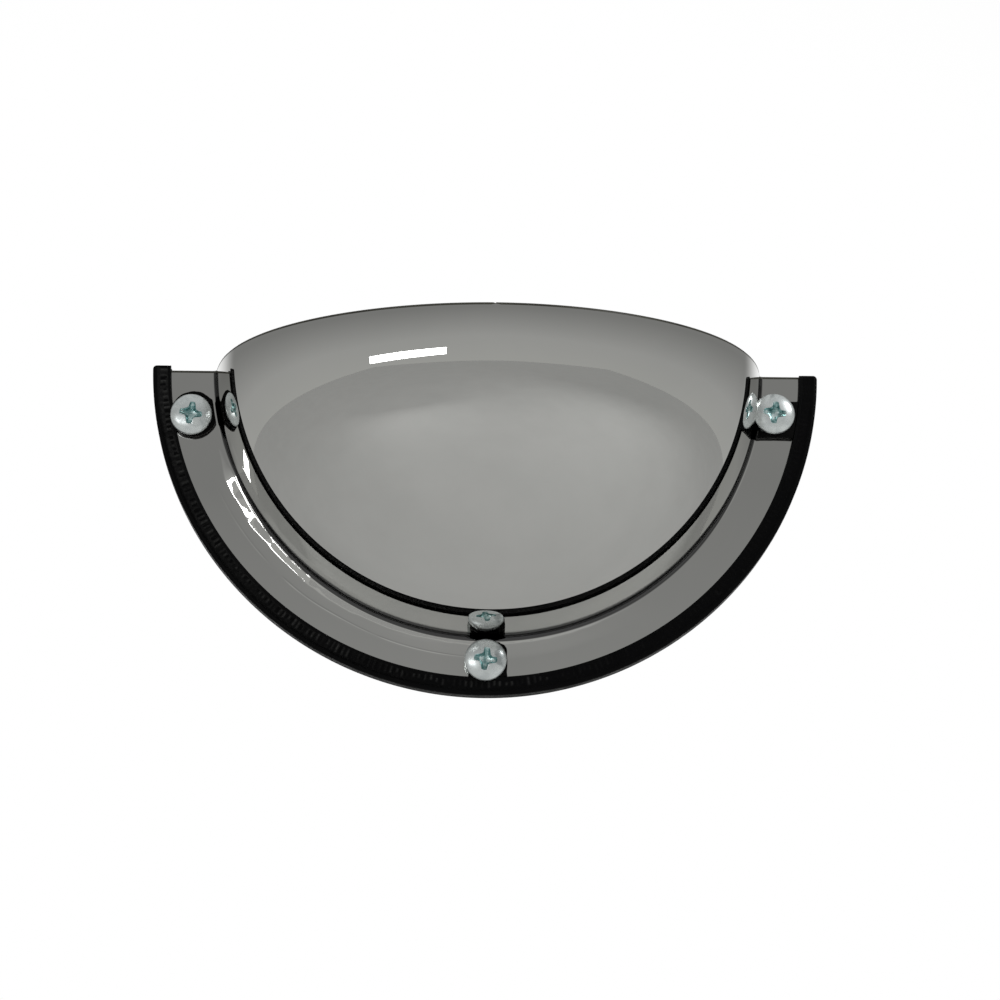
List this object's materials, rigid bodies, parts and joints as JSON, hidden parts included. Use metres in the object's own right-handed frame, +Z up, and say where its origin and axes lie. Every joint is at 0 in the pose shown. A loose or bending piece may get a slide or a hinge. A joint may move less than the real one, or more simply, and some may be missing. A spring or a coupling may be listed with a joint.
{
  "type": "convex security mirror",
  "caption": "Half-dome convex security mirror for a wall and ceiling corner: formed mirrored acrylic sheet with black edge trim, held by cross-recess screws on rubber pads.",
  "frame": {"origin": "the point of the mounting corner where the wall plane, the ceiling plane and the mirror's plane of symmetry meet; it is also the centre of the trim's half circle", "axes": "+X to the right across the 300 mm width seen from the front, +Y into the wall, so the dome faces -Y, +Z up to the ceiling"},
  "size_m": [0.2999, 0.1401, 0.15],
  "materials": {
    "mirror_sheet": "polished second-surface mirror on formed acrylic, grey protective paint on the back",
    "trim_rubber": "matt black extruded rubber with faint cross ribs",
    "carrier_steel": "bare rolled steel strip",
    "pad_rubber": "matt black rubber",
    "screw_zinc": "bright zinc plated steel with soft grey mottling",
    "plug_nylon": "moulded grey nylon"
  },
  "bodies": {
    "root": {"mirror_dome": "mirror_sheet", "edge_trim": "trim_rubber", "trim_steel_carrier": "carrier_steel", "rubber_pad_left": "pad_rubber", "rubber_pad_right": "pad_rubber", "rubber_pad_bottom": "pad_rubber", "screw_left": "screw_zinc", "screw_right": "screw_zinc", "screw_bottom": "screw_zinc", "rear_spacer_left": "pad_rubber", "rear_spacer_right": "pad_rubber", "rear_spacer_bottom": "pad_rubber", "wall_plug_left": "plug_nylon", "wall_plug_right": "plug_nylon", "wall_plug_bottom": "plug_nylon"}
  },
  "joints": []
}
